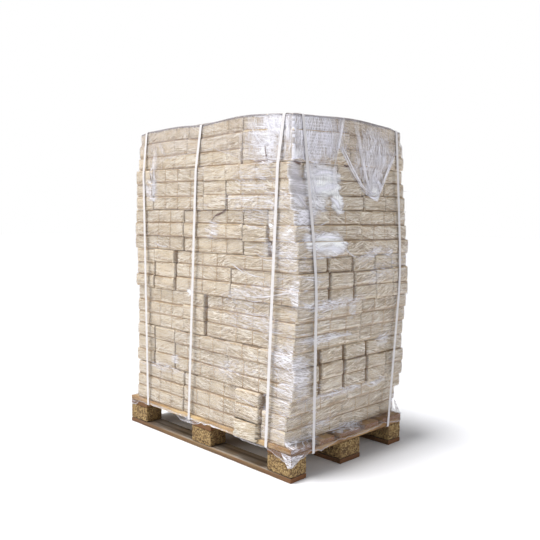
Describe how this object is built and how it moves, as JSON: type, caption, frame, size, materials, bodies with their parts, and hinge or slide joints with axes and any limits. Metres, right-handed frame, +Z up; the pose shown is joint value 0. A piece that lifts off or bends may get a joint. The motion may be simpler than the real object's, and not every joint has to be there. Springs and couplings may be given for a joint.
{
  "type": "pallet load of wood briquette packs",
  "caption": "Wooden four-way pallet stacked in layers with film-wrapped packs of pressed-wood briquettes, under a top sheet and stretch film, tied with flat straps.",
  "frame": {"origin": "middle of the pallet's underside, on the middle bottom board", "axes": "+X along the pallet's long side, +Y along its short side, +Z up"},
  "size_m": [1.2288, 0.8328, 1.5527],
  "materials": {
    "deck_wood": "rough sawn, weathered orange-brown",
    "bottom_wood": "rough sawn",
    "chipboard": "pressed chips, coarse",
    "pack_wood": "pressed sawdust under thin clear film",
    "clear_film": "clear film, wrinkled",
    "white_strap": "white, finely ribbed"
  },
  "bodies": {
    "root": {"bottom_board_front": "bottom_wood", "bottom_board_middle": "bottom_wood", "bottom_board_back": "bottom_wood", "block_front_left": "chipboard", "block_front_centre": "chipboard", "block_front_right": "chipboard", "block_middle_left": "chipboard", "block_middle_centre": "chipboard", "block_middle_right": "chipboard", "block_back_left": "chipboard", "block_back_centre": "chipboard", "block_back_right": "chipboard", "cross_board_left": "deck_wood", "cross_board_centre": "deck_wood", "cross_board_right": "deck_wood", "deck_board_1": "deck_wood", "deck_board_2": "deck_wood", "deck_board_3": "deck_wood", "deck_board_4": "deck_wood", "deck_board_5": "deck_wood", "pack_layer_1": "pack_wood", "pack_layer_2": "pack_wood", "pack_layer_3": "pack_wood", "pack_layer_4": "pack_wood", "pack_layer_5": "pack_wood", "pack_layer_6": "pack_wood", "pack_layer_7": "pack_wood", "top_sheet": "clear_film", "stretch_film": "clear_film", "strap_across_left": "white_strap", "strap_across_middle": "white_strap", "strap_across_right": "white_strap", "strap_along_front": "white_strap", "strap_along_back": "white_strap"}
  },
  "joints": []
}
